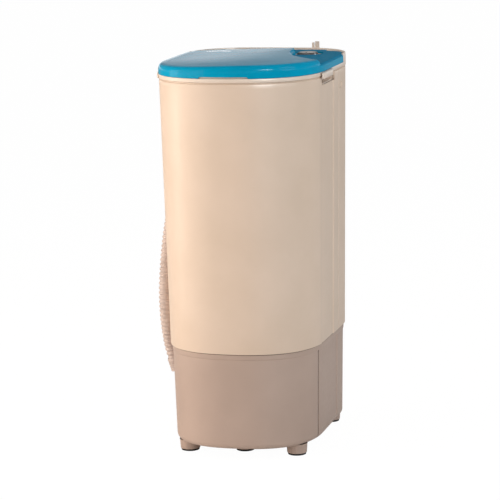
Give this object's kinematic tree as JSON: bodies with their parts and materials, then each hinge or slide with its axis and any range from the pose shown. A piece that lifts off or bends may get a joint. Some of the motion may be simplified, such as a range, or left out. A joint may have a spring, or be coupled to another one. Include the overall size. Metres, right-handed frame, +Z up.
{
  "type": "laundry spin dryer",
  "caption": "Upright laundry spin dryer: tapered D-shaped cabinet on a base with feet, hinged lid with timer knob, perforated basket on a sprung motor, ribbed drain hose clipped at the back.",
  "frame": {"origin": "floor point under the middle of the machine's box, measured without the drain hose", "axes": "+Z up, -Y towards the front where the lid is lifted, +X to the right seen from the front"},
  "size_m": [0.3172, 0.4116, 0.684],
  "materials": {
    "cream_plastic": "satin gloss moulded plastic",
    "taupe_plastic": "satin moulded plastic",
    "blue_plastic": "high gloss moulded plastic",
    "dark_plastic": "satin moulded plastic",
    "white_plastic": "satin moulded plastic",
    "hose_plastic": "flexible ribbed plastic",
    "black_rubber": "matte",
    "zinc_steel": "zinc plated",
    "stainless_steel": "brushed",
    "cast_alloy": "as cast",
    "painted_steel": "satin paint",
    "capacitor_can": "drawn can",
    "brass": "turned"
  },
  "bodies": {
    "cabinet": {"base_shell": "taupe_plastic", "body_shell": "cream_plastic", "rear_cover": "cream_plastic", "deck": "cream_plastic", "lid_hinge_pin_left": "zinc_steel", "lid_hinge_pin_right": "zinc_steel", "side_grip_left": "cream_plastic", "side_grip_right": "cream_plastic", "timer_body": "white_plastic", "lid_switch": "dark_plastic", "outer_tub": "white_plastic", "shaft_seal": "black_rubber", "brake_cable": "black_rubber", "suspension_spring_1": "zinc_steel", "suspension_spring_2": "zinc_steel", "suspension_spring_3": "zinc_steel", "capacitor": "capacitor_can", "capacitor_clip": "zinc_steel", "cord_gland": "black_rubber", "drain_elbow": "hose_plastic", "drain_spigot": "taupe_plastic", "drain_hose": "hose_plastic", "hose_cuff_lower": "hose_plastic", "hose_cuff_upper": "hose_plastic", "hose_clip": "cream_plastic", "foot_front_left": "taupe_plastic", "foot_pad_front_left": "black_rubber", "foot_front_right": "taupe_plastic", "foot_pad_front_right": "black_rubber", "foot_rear_left": "taupe_plastic", "foot_pad_rear_left": "black_rubber", "foot_rear_right": "taupe_plastic", "foot_pad_rear_right": "black_rubber", "foot_front_centre": "taupe_plastic", "foot_pad_front_centre": "black_rubber", "rear_screw_1": "zinc_steel", "rear_screw_2": "zinc_steel", "rear_screw_3": "zinc_steel", "rear_screw_4": "zinc_steel"},
    "lid": {"lid": "blue_plastic"},
    "timer": {"timer_knob": "dark_plastic", "timer_shaft": "brass"},
    "plunger": {"switch_plunger": "white_plastic"},
    "drive_unit": {"motor_mount_plate": "zinc_steel", "motor_housing": "painted_steel", "motor_end_cap": "cast_alloy", "brake_lever_pin": "zinc_steel"},
    "rotor": {"drive_shaft": "zinc_steel", "brake_drum": "cast_alloy", "basket_hub": "white_plastic", "spin_basket": "stainless_steel", "balance_ring": "white_plastic", "hub_nut": "zinc_steel"},
    "brake_arm": {"brake_lever": "zinc_steel", "brake_pad": "black_rubber"}
  },
  "joints": [
    {"name": "lid_hinge", "type": "hinge", "parent": "cabinet", "child": "lid", "pos_m": [0, 0.1497, 0.6596], "axis": [-1, 0, 0], "range_deg": [0, 95]},
    {"name": "timer_turn", "type": "hinge", "parent": "cabinet", "child": "timer", "pos_m": [0.078, 0.0887, 0.662], "axis": [0, 0, -1], "range_deg": [0, 300]},
    {"name": "switch_press", "type": "slide", "parent": "cabinet", "child": "plunger", "axis": [0, 0, 1], "range_m": [0, 0.003]},
    {"name": "suspension_bounce", "type": "slide", "parent": "cabinet", "child": "drive_unit", "axis": [0, 0, 1], "range_m": [-0.004, 0.004], "stiffness_N_per_m": 20000, "springref_m": 0.004, "deforming": ["suspension_spring_1", "suspension_spring_2", "suspension_spring_3"]},
    {"name": "basket_spin", "type": "hinge", "parent": "drive_unit", "child": "rotor", "pos_m": [0, -0.0463, 0.228], "axis": [0, 0, 1], "continuous": true},
    {"name": "brake_turn", "type": "hinge", "parent": "drive_unit", "child": "brake_arm", "pos_m": [0.062, -0.0743, 0.1513], "axis": [0, 0, 1], "range_deg": [0, 4.4]}
  ],
  "couplings": [
    {"joint": "brake_turn", "follows": "lid_hinge", "ratio": 0.0463},
    {"joint": "switch_press", "follows": "lid_hinge", "m_per_rad": 0.0018}
  ]
}
